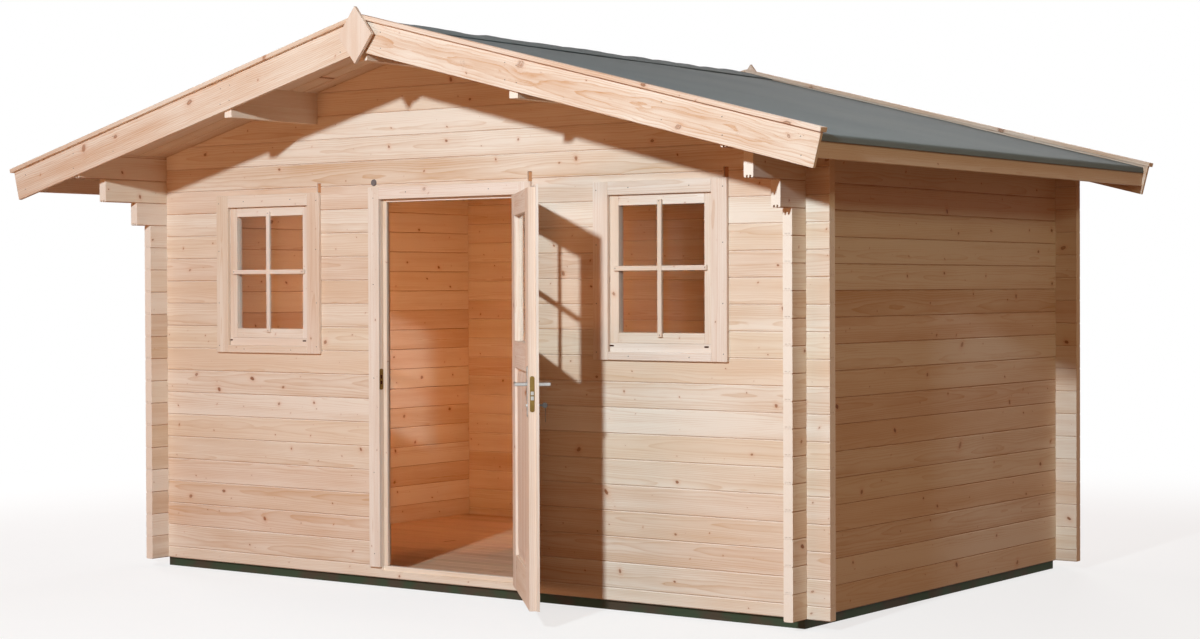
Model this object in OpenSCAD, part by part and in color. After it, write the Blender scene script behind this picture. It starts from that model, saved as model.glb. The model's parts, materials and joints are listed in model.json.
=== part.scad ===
// Log cabin: crossed tongue-and-groove logs, gable roof, half-glazed door, two fixed windows
// Origin: middle of the footprint, on the ground. The front wall faces -Y.

/* [Cabin] */
// Width over the outer faces of the side walls
cabin_w = 3870; // [3400:10:4400]
// Depth over the outer faces of the front and back walls
cabin_d = 2490; // [2200:10:3400]
// Side courses from the log over the openings up to the eaves
courses_over = 2; // [2:1:4]

/* [Logs] */
// Height that each log adds to a wall
log_course = 114; // [112:1:116]
// Thickness of a log
log_t = 45; // [40:1:50]
// Length of log that runs on past a crossed corner
corner_reach = 112; // [90:1:130]
// Bevel along the edges of a log
log_bevel = 4; // [2:0.5:5]
// Height of the two tongues on a log
tongue_h = 9; // [6:0.5:11]
// Width of one tongue
tongue_w = 8; // [6:0.5:9]
// Distance between the middles of the two tongues
tongue_pitch = 16; // [14:0.5:18]
// Slack round a tongue in its groove
tongue_slack = 1; // [0.5:0.1:2]
// Fine gap between pieces that lie on each other
seat = 0.3; // [0.2:0.05:0.4]
// Reach of the lower corbel log past the front wall
corbel_low_reach = 203; // [150:1:260]
// Reach of the upper corbel log past the front wall
corbel_high_reach = 410; // [320:1:480]

/* [Base and floor] */
// Height of the base beams
base_h = 45; // [40:1:70]
// Width of the base beams
base_w = 70; // [60:1:90]
// Distance of the base beams inside the outer wall faces
base_inset = 25; // [15:1:30]
// Number of joists between the front and back beams
joist_count = 5; // [3:2:9]
// Thickness of the floor boards
floor_t = 19; // [16:1:28]
// Gap between the floor and the walls
floor_gap = 6; // [4:1:12]

/* [Roof] */
// Slope of the roof
roof_pitch = 14.4; // [12:0.1:17]
// Reach of the roof past the front wall, to the barge boards
roof_front = 580; // [450:5:700]
// Reach of the roof past the back wall, to the barge boards
roof_back = 114; // [113:1:300]
// Reach of the roof boards past the side walls
roof_side = 398; // [300:1:450]
// Thickness of the roof boards
deck_t = 19; // [16:1:24]
// Thickness of the felt with its underlay
felt_t = 4; // [2:0.5:6]
// Drop of the felt where it folds over the eaves
felt_fold = 26; // [15:1:40]
// Thickness of the purlins
purlin_t = 45; // [40:1:60]
// Height of the purlins at their upper edge
purlin_h = 150; // [120:1:170]
// Distance of the side purlins from the ridge
purlin_x = 850; // [700:10:1000]
// Thickness of the eave fascias
fascia_t = 20; // [16:1:28]
// Height of the eave fascias
fascia_h = 70; // [55:1:95]
// Distance of the fascias inside the ends of the roof boards
fascia_inset = 6; // [2:1:20]

/* [Barge boards] */
// Thickness of the barge boards
barge_t = 20; // [16:1:28]
// Width of the barge boards
barge_w = 142; // [110:1:170]
// Rise of the barge boards above the roof boards
barge_rise = 14; // [8:1:20]
// Reach of the barge boards past the ends of the roof boards
barge_reach = 26; // [15:1:40]
// Thickness of the cover strips
strip_t = 20; // [15:1:28]
// Width of the cover strips
strip_w = 50; // [40:1:60]
// Reach of the cover strips in front of the barge boards
strip_reach = 20; // [10:1:25]
// Reach of the cover strips past the ends of the barge boards
strip_past = 8; // [0:1:20]
// Width of the diamond boards at the ridge
finial_w = 200; // [160:1:240]
// Height of the diamond boards
finial_h = 256; // [200:1:300]
// Thickness of the diamond boards
finial_t = 18; // [14:1:24]
// Height of the diamonds' tips above the tops of the cover strips
finial_over = 32; // [20:1:50]

/* [Windows] */
// Width over the outer trim of a window
window_w = 705; // [600:1:760]
// Height over the outer trim of a window
window_h = 787; // [700:1:800]
// Height of the trim's lower edge above the base beams
window_z = 1065; // [1050:1:1085]
// Distance of the left window's middle from the left wall's outer face
window_left_in = 777; // [720:1:850]
// Distance of the right window's middle from the right wall's outer face
window_right_in = 733; // [700:1:850]
// Thickness of the trim boards
trim_t = 18; // [14:1:22]
// Width of the upright trim boards of a window
window_stile_w = 80; // [70:1:90]
// Height of the upper trim board of a window
window_head_h = 60; // [50:1:70]
// Height of the lower trim board of a window
window_sill_h = 37; // [30:1:50]
// Overlap of the trim on the logs
trim_lap = 34; // [25:1:38]
// Height of the window sill lining above the lower trim
window_drip_h = 38; // [30:1:50]
// Width of the sash stiles and rails
sash_w = 46; // [38:1:55]
// Thickness of the sash
sash_t = 36; // [30:1:40]
// Distance of the sash behind the trim's face
sash_back = 20; // [14:1:26]
// Thickness of the glass
glass_t = 4; // [3:0.5:6]

/* [Door frame] */
// Distance of the doorway's middle to the right of the cabin's middle
door_x = 6; // [-60:1:40]
// Clear width between the door frame's rebates
doorway_w = 846; // [760:2:860]
// Height of the frame's rebate above the base beams
doorway_h = 1809; // [1780:1:1820]
// Width of the door's outer trim
door_trim_w = 68; // [60:1:75]
// Height of the door's outer head trim
door_head_h = 58; // [50:1:60]
// Thickness of the frame boards that line the opening
lining_t = 28; // [22:1:32]
// Width of the stop strips inside the rebate
stop_w = 24; // [20:1:35]
// Depth of the stop strips behind the rebate
stop_d = 16; // [12:1:40]
// Height of the stop strip under the frame's head
stop_head_h = 13; // [10:1:30]
// Depth of the rebate from the trim's face to the stop
rebate_d = 30; // [26:1:34]
// Depth of the cut in the sill log that lets the leaf pass
sill_cut = 23; // [15:1:26]

/* [Door leaf] */
// Angle that the open leaf has turned from its closed place
door_open = 133; // [90:1:140]
// Thickness of the leaf's face boards, which lap over the frame
lip_t = 12; // [10:1:14]
// Reach of the face boards past the leaf's sides
lip_side = 18; // [15:1:20]
// Reach of the face boards above the leaf
lip_top = 12; // [8:1:16]
// Gap between the face boards and the frame's trim
lip_gap = 5; // [5:0.5:6]
// Gap between the leaf and the frame at its edges
leaf_gap = 7; // [6:0.5:9]
// Gap between the closed leaf and the stops
leaf_stop_gap = 5; // [5:0.5:7]
// Width of the leaf's stiles
door_stile_w = 150; // [130:1:170]
// Height of the top rail
door_top_rail_h = 97; // [80:1:120]
// Height of the middle rail
door_mid_rail_h = 120; // [90:1:140]
// Height of the middle rail's upper edge above the base beams
door_mid_z = 1150; // [1110:1:1180]
// Height of the bottom rail
door_low_rail_h = 155; // [120:1:180]
// Thickness of the lower panel
panel_t = 16; // [12:1:20]

/* [Hinges and lock] */
// Distance of the hinge axis beside the leaf's face boards
hinge_side = 12; // [12:0.5:16]
// Distance of the hinge axis behind the leaf's outer face
hinge_in = 2; // [1:0.5:4]
// Radius of the hinge barrels
hinge_r = 7; // [6:0.5:8]
// Radius of the hinge pins
hinge_pin_r = 4; // [3:0.5:5]
// Length of one hinge barrel
hinge_len = 45; // [35:1:60]
// Distance of the outer hinges from the leaf's ends
hinge_end = 190; // [150:5:250]
// Distance of the lever's spindle from the leaf's edge
lock_backset = 55; // [50:1:60]
// Height of the lever above the base beams
lever_z = 982; // [950:1:1010]
// Length of the lever
lever_len = 115; // [95:1:130]
// Radius of the lever
lever_r = 8; // [7:0.5:10]
// Distance of the lever from the leaf's face
lever_out = 46; // [38:1:55]
// Radius of the spindle
spindle_r = 5; // [4:0.5:6]
// Height of the long lock plates
plate_h = 214; // [180:1:240]
// Width of the long lock plates
plate_w = 40; // [34:1:46]
// Thickness of the lock plates
plate_t = 3; // [2:0.5:4]
// Distance of the key cylinder below the spindle
key_drop = 88; // [70:1:95]

/* [Hidden] */
$fn = 48;

spruce = "#e6cba6";
pale_spruce = "#ecdcc2";
treated_brown = "#4a4030";
felt_grey = "#5d6562";
steel = "#b9bbbd";
glass_tint = "#cfe0e4";

half_w = cabin_w / 2;
half_d = cabin_d / 2;
front_y = -half_d;
log_h = log_course - seat;
cross_x = half_w - log_t / 2;
cross_y = half_d - log_t / 2;
log_end_x = half_w + corner_reach;
log_end_y = half_d + corner_reach;
slope = tan(roof_pitch);
lean = cos(roof_pitch);
far = 2 * cabin_w;

// Course over the openings, and full side courses from the base up to the eaves
openings_top = max(window_z + window_h - window_head_h / 2, doorway_h + lining_t + seat);
lintel_i = ceil(openings_top / log_course - 0.5);
side_courses = lintel_i + courses_over;

// Roof lines above the ground at a distance x from the ridge
function under_z(x) = base_h + side_courses * log_course + (half_w - abs(x)) * slope;
function deck_z(x) = under_z(x) + seat + deck_t / lean;
function barge_z(x) = deck_z(x) + barge_rise;
roof_y0 = -half_d - roof_front;
roof_y1 = half_d + roof_back;
eave_x = half_w + roof_side;
barge_x = eave_x + barge_reach;
gable_top = floor((under_z(0) - base_h) / log_course + 0.5);

// Opening of the doorway and of the windows
door_z0 = base_h + log_course / 2;
door_z1 = base_h + doorway_h;
door_cut_x = doorway_w / 2 + lining_t + seat;
door_cut_z = door_z1 + lining_t + seat;
trim_y = front_y - trim_t;
window_z0 = base_h + window_z;
window_z1 = window_z0 + window_h;
window_cut_x = window_w / 2 - trim_lap;
window_cut_z0 = window_z0 + window_sill_h / 2;
window_cut_z1 = window_z1 - window_head_h / 2;
window_left_x = -half_w + window_left_in;
window_right_x = half_w - window_right_in;
slot_w = 26;
slot_d = 14;
slot_h = 46;

// Leaf of the door in its closed place, measured from the doorway's middle
leaf_x = doorway_w / 2 - leaf_gap;
leaf_y1 = trim_y + rebate_d - leaf_stop_gap;
body_y0 = trim_y - lip_gap;
leaf_y0 = body_y0 - lip_t;
leaf_z0 = door_z0 - sill_cut + leaf_gap - 1;
leaf_z1 = door_z1 - leaf_gap + 1;
hinge_x = leaf_x + lip_side + hinge_side;
hinge_y = leaf_y0 + hinge_in;
rail_x = leaf_x - door_stile_w - seat;
door_mid_z1 = base_h + door_mid_z;
door_mid_z0 = door_mid_z1 - door_mid_rail_h;
door_low_z1 = leaf_z0 + door_low_rail_h;
door_top_z0 = leaf_z1 - door_top_rail_h;
spindle_x = -leaf_x + lock_backset;
spindle_z = base_h + lever_z;
hinge_zs = [leaf_z0 + hinge_end, (leaf_z0 + leaf_z1) / 2, leaf_z1 - hinge_end];
hinge_leaf_gap = 0.5;
pin_slack = 0.3;
spindle_slack = 0.6;
face_w = 20;
face_t = 2.5;
face_h = 150;
face_drop = 114;
plate_up = 78;
key_r = 8.5;

// Outline of a log's end: bevelled sides, two grooves below and two tongues above
function groove_points(w, h, z) = [for (s = [-1, 1]) each
    [[s * tongue_pitch / 2 - w / 2, z], [s * tongue_pitch / 2 - w / 2, z + h],
     [s * tongue_pitch / 2 + w / 2, z + h], [s * tongue_pitch / 2 + w / 2, z]]];
function back_to_front(list) = [for (i = [len(list) - 1:-1:0]) list[i]];
function log_outline(h, grooves, tongues) = concat(
    [[-log_t / 2, log_bevel], [-log_t / 2 + log_bevel, 0]],
    grooves ? groove_points(tongue_w + tongue_slack, tongue_h + tongue_slack, 0) : [],
    [[log_t / 2 - log_bevel, 0], [log_t / 2, log_bevel],
     [log_t / 2, h - log_bevel], [log_t / 2 - log_bevel, h]],
    tongues ? back_to_front(groove_points(tongue_w, tongue_h, h)) : [],
    [[-log_t / 2 + log_bevel, h], [-log_t / 2, h - log_bevel]]);

module block(x0, x1, y0, y1, z0, z1) {
    translate([x0, y0, z0])
        cube([x1 - x0, y1 - y0, z1 - z0]);
}

module log_along_x(x0, x1, y, z, h = log_h, grooves = true, tongues = true) {
    translate([x0, y, z])
        rotate([90, 0, 90])
            linear_extrude(x1 - x0)
                polygon(log_outline(h, grooves, tongues));
}

module log_along_y(y0, y1, x, z, h = log_h, grooves = true, tongues = true) {
    translate([x, y1, z])
        rotate([90, 0, 0])
            linear_extrude(y1 - y0)
                polygon(log_outline(h, grooves, tongues));
}

// Halved notches where the walls cross: each log keeps the middle half of its height
module notch(x, y, z, low, high) {
    reach = log_t / 2 + seat;
    if (low)
        block(x - reach, x + reach, y - reach, y + reach, z - 1, z + log_course / 4 + seat / 2);
    if (high)
        block(x - reach, x + reach, y - reach, y + reach,
            z + 3 * log_course / 4 - seat / 2, z + log_course + tongue_h + 1);
}

module corner_notches_x(y, z, low, high) {
    for (side = [-1, 1])
        notch(side * cross_x, y, z, low, high);
}

// Everything below the roof boards
module under_roof(drop = 0) {
    translate([0, far / 2, 0])
        rotate([90, 0, 0])
            linear_extrude(far)
                polygon([[-eave_x, 0], [eave_x, 0], [eave_x, under_z(eave_x) - drop],
                    [0, under_z(0) - drop], [-eave_x, under_z(eave_x) - drop]]);
}

function course_z(i) = base_h + (i - 0.5) * log_course;

module gable_course(i, y) {
    intersection() {
        difference() {
            log_along_x(-log_end_x, log_end_x, y, course_z(i));
            corner_notches_x(y, course_z(i), i <= side_courses, i < side_courses);
            for (x = [-purlin_x, 0, purlin_x])
                block(x - purlin_t / 2 - seat, x + purlin_t / 2 + seat, y - log_t, y + log_t,
                    purlin_z(x) - seat, under_z(0));
        }
        under_roof();
    }
}

module gable_logs(y) {
    for (i = [lintel_i + 1:gable_top])
        gable_course(i, y);
}

module half_log(y) {
    difference() {
        log_along_x(-log_end_x, log_end_x, y, base_h, log_course / 2 - seat, grooves = false);
        corner_notches_x(y, base_h - log_course / 2, false, true);
    }
}

// Base and floor

module base_beams() {
    x = half_w - base_inset;
    y = half_d - base_inset;
    color(treated_brown) {
        for (side = [-1, 1]) {
            block(-x, x, min(side * y, side * (y - base_w)), max(side * y, side * (y - base_w)),
                0, base_h - seat);
            block(min(side * x, side * (x - base_w)), max(side * x, side * (x - base_w)),
                -y + base_w + seat, y - base_w - seat, 0, base_h - seat);
        }
    }
}

module floor_joists() {
    x = half_w - base_inset - base_w;
    y = half_d - base_inset - base_w - seat;
    step = 2 * x / (joist_count + 1);
    color(treated_brown)
        for (i = [1:joist_count])
            block(-x + i * step - base_w / 2, -x + i * step + base_w / 2, -y, y, 0, base_h - seat);
}

module floor_boards() {
    x = half_w - log_t - floor_gap;
    y = half_d - log_t - floor_gap;
    color(spruce)
        block(-x, x, -y, y, base_h, base_h + floor_t);
}

// Walls

module front_sill_log() {
    color(spruce)
        difference() {
            half_log(-cross_y);
            block(door_x - door_cut_x, door_x + door_cut_x, -far, far, door_z0 - seat, far);
            block(door_x - doorway_w / 2, door_x + doorway_w / 2, -far, trim_y + rebate_d,
                door_z0 - sill_cut, far);
        }
}

module front_courses(x0, x1, window_x) {
    for (i = [1:lintel_i - 1])
        difference() {
            log_along_x(x0, x1, -cross_y, course_z(i));
            corner_notches_x(-cross_y, course_z(i), true, true);
            block(window_x - window_cut_x, window_x + window_cut_x, -far, far,
                window_cut_z0, window_cut_z1);
        }
}

module front_wall_left_logs() {
    color(spruce)
        front_courses(-log_end_x, door_x - door_cut_x, window_left_x);
}

module front_wall_right_logs() {
    color(spruce)
        front_courses(door_x + door_cut_x, log_end_x, window_right_x);
}

// Short upright slots past the right ends of the trims, over the joint above the openings
module trim_slots() {
    for (p = [[window_left_x + window_w / 2, window_z1], [window_right_x + window_w / 2, window_z1],
              [door_x + doorway_w / 2 + door_trim_w, door_z1 + door_head_h]])
        block(p[0] - slot_w, p[0], -far, front_y + slot_d, p[1], p[1] + slot_h);
}

module front_lintel_log() {
    z = course_z(lintel_i);
    color(spruce)
        difference() {
            log_along_x(-log_end_x, log_end_x, -cross_y, z);
            corner_notches_x(-cross_y, z, true, true);
            block(door_x - door_cut_x, door_x + door_cut_x, -far, far, 0, door_cut_z);
            for (x = [window_left_x, window_right_x])
                block(x - window_cut_x, x + window_cut_x, -far, far, 0, window_cut_z1);
            trim_slots();
        }
}

module front_gable_logs() {
    color(spruce)
        difference() {
            gable_logs(-cross_y);
            trim_slots();
        }
}

module back_wall_logs() {
    color(spruce) {
        half_log(cross_y);
        for (i = [1:lintel_i])
            difference() {
                log_along_x(-log_end_x, log_end_x, cross_y, course_z(i));
                corner_notches_x(cross_y, course_z(i), true, true);
            }
    }
}

module back_gable_logs() {
    color(spruce)
        gable_logs(cross_y);
}

// Side logs: the last three step forward under the front of the roof
function side_front(k) = k == side_courses - 1 ? roof_y0
    : k == side_courses - 2 ? front_y - corbel_high_reach
    : k == side_courses - 3 ? front_y - corbel_low_reach
    : -log_end_y;
function side_back(k) = k == side_courses - 1 ? roof_y1 : log_end_y;

module side_wall(x) {
    for (k = [0:side_courses - 1]) {
        top = k == side_courses - 1;
        z = base_h + k * log_course;
        intersection() {
            difference() {
                log_along_y(side_front(k), side_back(k), x, z, top ? 2 * log_course : log_h,
                    k > 0, !top);
                notch(x, -cross_y, z, true, true);
                notch(x, cross_y, z, true, true);
                if (top)
                    for (y = [-cross_y, cross_y])
                        notch(x, y, z + log_course, true, true);
            }
            under_roof();
        }
    }
}

module left_wall_logs() {
    color(spruce)
        side_wall(-cross_x);
}

module right_wall_logs() {
    color(spruce)
        side_wall(cross_x);
}

// Roof

function purlin_z(x) = under_z(abs(x) - (x == 0 ? 0 : purlin_t / 2)) - purlin_h;

module purlin(x) {
    color(spruce)
        intersection() {
            block(x - purlin_t / 2, x + purlin_t / 2, roof_y0, roof_y1, purlin_z(x), under_z(0));
            under_roof();
        }
}

module ridge_purlin() {
    purlin(0);
}

module side_purlins() {
    for (side = [-1, 1])
        purlin(side * purlin_x);
}

// Outlines of the roof in the plane of the gable, for the right side
module along_roof(y0, y1, side) {
    mirror([side < 0 ? 1 : 0, 0, 0])
        translate([0, y1, 0])
            rotate([90, 0, 0])
                linear_extrude(y1 - y0)
                    children();
}

module deck_outline() {
    x0 = seat / 2;
    polygon([[x0, under_z(x0) + seat], [eave_x, under_z(eave_x) + seat], [eave_x, deck_z(eave_x)],
        [x0, deck_z(x0)]]);
}

module felt_outline() {
    x0 = seat / 2;
    x1 = eave_x + seat;
    x2 = x1 + felt_t;
    lift = felt_t / lean;
    polygon([[x0, deck_z(x0) + seat], [x1, deck_z(x1) + seat], [x1, deck_z(x1) - felt_fold],
        [x2, deck_z(x1) - felt_fold], [x2, deck_z(x2) + seat + lift], [x0, deck_z(x0) + seat + lift]]);
}

module barge_outline() {
    x0 = seat / 2;
    polygon([[x0, barge_z(x0)], [x0, barge_z(x0) - barge_w / lean],
        [barge_x - barge_w * sin(roof_pitch), barge_z(barge_x) - barge_w * lean],
        [barge_x, barge_z(barge_x)]]);
}

module strip_outline() {
    x0 = seat / 2;
    x1 = barge_x + strip_past;
    low = seat;
    high = seat + strip_t / lean;
    polygon([[x0, barge_z(x0) + low], [x1, barge_z(x1) + low],
        [x1 + strip_t * sin(roof_pitch), barge_z(x1 + strip_t * sin(roof_pitch)) + high],
        [x0, barge_z(x0) + high]]);
}

module roof_boards_left() {
    color(spruce)
        along_roof(roof_y0, roof_y1, -1)
            deck_outline();
}

module roof_boards_right() {
    color(spruce)
        along_roof(roof_y0, roof_y1, 1)
            deck_outline();
}

module roof_felt_left() {
    color(felt_grey)
        along_roof(roof_y0, roof_y1, -1)
            felt_outline();
}

module roof_felt_right() {
    color(felt_grey)
        along_roof(roof_y0, roof_y1, 1)
            felt_outline();
}

module eave_fascia(side) {
    x1 = eave_x - fascia_inset;
    z1 = under_z(x1);
    color(pale_spruce)
        along_roof(roof_y0 + seat, roof_y1 - seat, side)
            polygon([[x1 - fascia_t, z1 - fascia_h], [x1, z1 - fascia_h], [x1, z1],
                [x1 - fascia_t, under_z(x1 - fascia_t)]]);
}

module eave_fascia_left() {
    eave_fascia(-1);
}

module eave_fascia_right() {
    eave_fascia(1);
}

barge_front_y = roof_y0 - seat;
barge_back_y = roof_y1 + seat;

module front_barge_boards() {
    color(pale_spruce)
        for (side = [-1, 1])
            along_roof(barge_front_y - barge_t, barge_front_y, side)
                barge_outline();
}

module rear_barge_boards() {
    color(pale_spruce)
        for (side = [-1, 1])
            along_roof(barge_back_y, barge_back_y + barge_t, side)
                barge_outline();
}

strip_front_y = barge_front_y - barge_t - strip_reach;
strip_back_y = barge_back_y + barge_t + strip_reach;

module front_cover_strips() {
    color(pale_spruce)
        for (side = [-1, 1])
            along_roof(strip_front_y, strip_front_y + strip_w, side)
                strip_outline();
}

module rear_cover_strips() {
    color(pale_spruce)
        for (side = [-1, 1])
            along_roof(strip_back_y - strip_w, strip_back_y, side)
                strip_outline();
}

module finial_board(y) {
    top = barge_z(0) + seat + strip_t / lean + finial_over;
    color(pale_spruce)
        translate([0, y + finial_t, top - finial_h / 2])
            rotate([90, 0, 0])
                linear_extrude(finial_t)
                    polygon([[0, -finial_h / 2], [finial_w / 2, 0], [0, finial_h / 2], [-finial_w / 2, 0]]);
}

module front_finial() {
    finial_board(strip_front_y - seat - finial_t);
}

module rear_finial() {
    finial_board(strip_back_y + seat);
}

// Door frame

lining_y1 = front_y + log_t + trim_t;

module at_door() {
    translate([door_x, 0, 0])
        children();
}

module door_trim() {
    x0 = doorway_w / 2;
    x1 = x0 + door_trim_w;
    low = door_z0 - 6;
    color(pale_spruce)
        at_door() for (y = [trim_y, front_y + log_t + seat]) {
            inner = y > front_y;
            for (side = [-1, 1])
                block(min(side * x0, side * x1) + (inner && side > 0 ? lining_t + 2 * seat : 0),
                    max(side * x0, side * x1) - (inner && side < 0 ? lining_t + 2 * seat : 0),
                    y, y + trim_t - seat, inner ? door_z0 : low, door_z1 + door_head_h);
            block(-x0 + seat, x0 - seat, y, y + trim_t - seat,
                door_z1 + (inner ? lining_t + 2 * seat : 0), door_z1 + door_head_h);
        }
}

module door_frame() {
    x0 = doorway_w / 2;
    color(pale_spruce) at_door() {
        for (side = [-1, 1])
            block(min(side * x0, side * (x0 + lining_t)), max(side * x0, side * (x0 + lining_t)),
                front_y, lining_y1, door_z0, door_z1 - seat);
        block(-x0 - lining_t, x0 + lining_t, front_y, lining_y1, door_z1, door_z1 + lining_t);
    }
}

module door_stops() {
    x1 = doorway_w / 2 - seat;
    x0 = x1 - stop_w;
    y0 = trim_y + rebate_d;
    y1 = y0 + stop_d;
    color(pale_spruce) at_door() {
        for (side = [-1, 1])
            block(min(side * x0, side * x1), max(side * x0, side * x1), y0, y1, door_z0, door_z1 - seat);
        block(-x0 + seat, x0 - seat, y0, y1, door_z1 - seat - stop_head_h, door_z1 - seat);
    }
}

// Windows: trim outside, lining in the cut, sash and glass

module window_trim(y) {
    half = window_w / 2;
    inner = half - window_stile_w;
    y1 = y + trim_t - seat;
    for (side = [-1, 1])
        block(min(side * half, side * inner), max(side * half, side * inner), y, y1,
            window_z0, window_z1);
    block(-inner + seat, inner - seat, y, y1, window_z1 - window_head_h, window_z1);
    block(-inner + seat, inner - seat, y, y1, window_z0, window_z0 + window_sill_h);
}

module window_lining() {
    inner = window_w / 2 - window_stile_w;
    outer = window_cut_x - seat;
    y1 = front_y + log_t;
    z0 = window_cut_z0 + seat;
    z1 = window_cut_z1 - seat;
    for (side = [-1, 1])
        block(min(side * outer, side * inner), max(side * outer, side * inner), front_y, y1, z0, z1);
    block(-inner + seat, inner - seat, front_y, y1, window_z1 - window_head_h, z1);
    block(-inner + seat, inner - seat, front_y, y1, z0, window_z0 + window_sill_h + window_drip_h);
}

module window_frame(x) {
    color(pale_spruce)
        translate([x, 0, 0]) {
            window_trim(trim_y);
            window_lining();
            window_trim(front_y + log_t + seat);
        }
}

module window_left_frame() {
    window_frame(window_left_x);
}

module window_right_frame() {
    window_frame(window_right_x);
}

sash_y0 = trim_y + sash_back;
sash_x = window_w / 2 - window_stile_w - seat;
sash_z0 = window_z0 + window_sill_h + window_drip_h + seat;
sash_z1 = window_z1 - window_head_h - seat;

module window_sash(x) {
    inner = sash_x - sash_w;
    color(pale_spruce)
        translate([x, 0, 0]) {
            for (side = [-1, 1])
                block(min(side * inner, side * sash_x), max(side * inner, side * sash_x),
                    sash_y0, sash_y0 + sash_t, sash_z0, sash_z1);
            block(-inner + seat, inner - seat, sash_y0, sash_y0 + sash_t, sash_z0, sash_z0 + sash_w);
            block(-inner + seat, inner - seat, sash_y0, sash_y0 + sash_t, sash_z1 - sash_w, sash_z1);
        }
}

module window_left_sash() {
    window_sash(window_left_x);
}

module window_right_sash() {
    window_sash(window_right_x);
}

module window_glass(x) {
    inner = sash_x - sash_w - seat;
    y = sash_y0 + sash_t / 2 - glass_t / 2;
    color(glass_tint, 0.3)
        block(x - inner, x + inner, y, y + glass_t, sash_z0 + sash_w + seat, sash_z1 - sash_w - seat);
}

module window_left_glass() {
    window_glass(window_left_x);
}

module window_right_glass() {
    window_glass(window_right_x);
}

// Door leaf, drawn closed and turned to its open place

module turned_open() {
    translate([door_x + hinge_x, hinge_y, 0])
        rotate([0, 0, door_open])
            translate([-hinge_x, -hinge_y, 0])
                children();
}

module across_leaf(x, z, r, y0, y1) {
    translate([x, y1, z])
        rotate([90, 0, 0])
            cylinder(h = y1 - y0, r = r);
}

face_z0 = spindle_z - face_drop;
face_y = (body_y0 + leaf_y1) / 2;
face_y1 = body_y0 - seat;

// Each stile is a body in the rebate and a face board that laps over the frame
module door_stiles() {
    inner = leaf_x - door_stile_w;
    color(pale_spruce)
        turned_open() {
            difference() {
                union() {
                    block(-leaf_x, -inner, body_y0, leaf_y1, leaf_z0, leaf_z1);
                    block(-leaf_x - lip_side, -inner, leaf_y0, face_y1, leaf_z0, leaf_z1 + lip_top);
                }
                across_leaf(spindle_x, spindle_z, spindle_r + spindle_slack, leaf_y0 - 1, leaf_y1 + 1);
                block(-leaf_x - 1, -leaf_x + face_t, face_y - face_w / 2 - seat,
                    face_y + face_w / 2 + seat, face_z0 - seat, face_z0 + face_h + seat);
            }
            block(inner, leaf_x, body_y0, leaf_y1, leaf_z0, leaf_z1);
            block(inner, leaf_x + lip_side, leaf_y0, face_y1, leaf_z0, leaf_z1 + lip_top);
        }
}

module door_rails() {
    color(pale_spruce)
        turned_open() {
            block(-rail_x, rail_x, body_y0, leaf_y1, door_top_z0, leaf_z1);
            block(-rail_x, rail_x, leaf_y0, face_y1, door_top_z0, leaf_z1 + lip_top);
            block(-rail_x, rail_x, leaf_y0, leaf_y1, door_mid_z0, door_mid_z1);
            block(-rail_x, rail_x, leaf_y0, leaf_y1, leaf_z0, door_low_z1);
        }
}

module door_panel() {
    y = (leaf_y0 + leaf_y1) / 2;
    color(pale_spruce)
        turned_open()
            block(-rail_x, rail_x, y - panel_t / 2, y + panel_t / 2, door_low_z1 + seat,
                door_mid_z0 - seat);
}

module door_glass() {
    y = (leaf_y0 + leaf_y1) / 2;
    color(glass_tint, 0.3)
        turned_open()
            block(-rail_x, rail_x, y - glass_t / 2, y + glass_t / 2, door_mid_z1 + seat,
                door_top_z0 - seat);
}

// Hinges: a barrel and pin on the frame's trim, a bored barrel on the leaf

hinge_plate_t = 2;
hinge_plate_w = 32;

module door_hinge_posts() {
    color(steel)
        at_door() for (z = hinge_zs) {
            translate([hinge_x, hinge_y, z - hinge_len])
                cylinder(h = hinge_len, r = hinge_r);
            translate([hinge_x, hinge_y, z - 1])
                cylinder(h = hinge_len + 1, r = hinge_pin_r);
            block(hinge_x + 1, hinge_x + hinge_r, hinge_y, trim_y, z - hinge_len, z);
            block(hinge_x + 1, hinge_x + 1 + hinge_plate_w, trim_y - hinge_plate_t, trim_y, z - hinge_len, z);
        }
}

module door_hinge_leaves() {
    edge = leaf_x + lip_side;
    color(steel)
        turned_open()
            for (z = hinge_zs)
                difference() {
                    union() {
                        translate([hinge_x, hinge_y, z + hinge_leaf_gap])
                            cylinder(h = hinge_len, r = hinge_r);
                        block(edge - hinge_plate_w, hinge_x, leaf_y0 - hinge_plate_t, leaf_y0,
                            z + hinge_leaf_gap, z + hinge_leaf_gap + hinge_len);
                    }
                    translate([hinge_x, hinge_y, z - 1])
                        cylinder(h = hinge_len + 4, r = hinge_pin_r + pin_slack);
                }
}

// Lock: face plate in the edge, a long plate and key cylinder on each face

module door_lock() {
    color(steel)
        turned_open() {
            block(-leaf_x, -leaf_x + face_t - seat, face_y - face_w / 2, face_y + face_w / 2,
                face_z0, face_z0 + face_h);
            for (y = [leaf_y0 - plate_t, leaf_y1])
                difference() {
                    union() {
                        block(spindle_x - plate_w / 2, spindle_x + plate_w / 2, y, y + plate_t,
                            spindle_z + plate_up - plate_h, spindle_z + plate_up);
                        across_leaf(spindle_x, spindle_z - key_drop, key_r,
                            y < leaf_y0 ? y - 4 : y, y < leaf_y0 ? y + plate_t : y + plate_t + 4);
                    }
                    across_leaf(spindle_x, spindle_z, spindle_r + spindle_slack, y - 1, y + plate_t + 1);
                }
        }
}

// Lever handles on both faces, on one spindle

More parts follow.
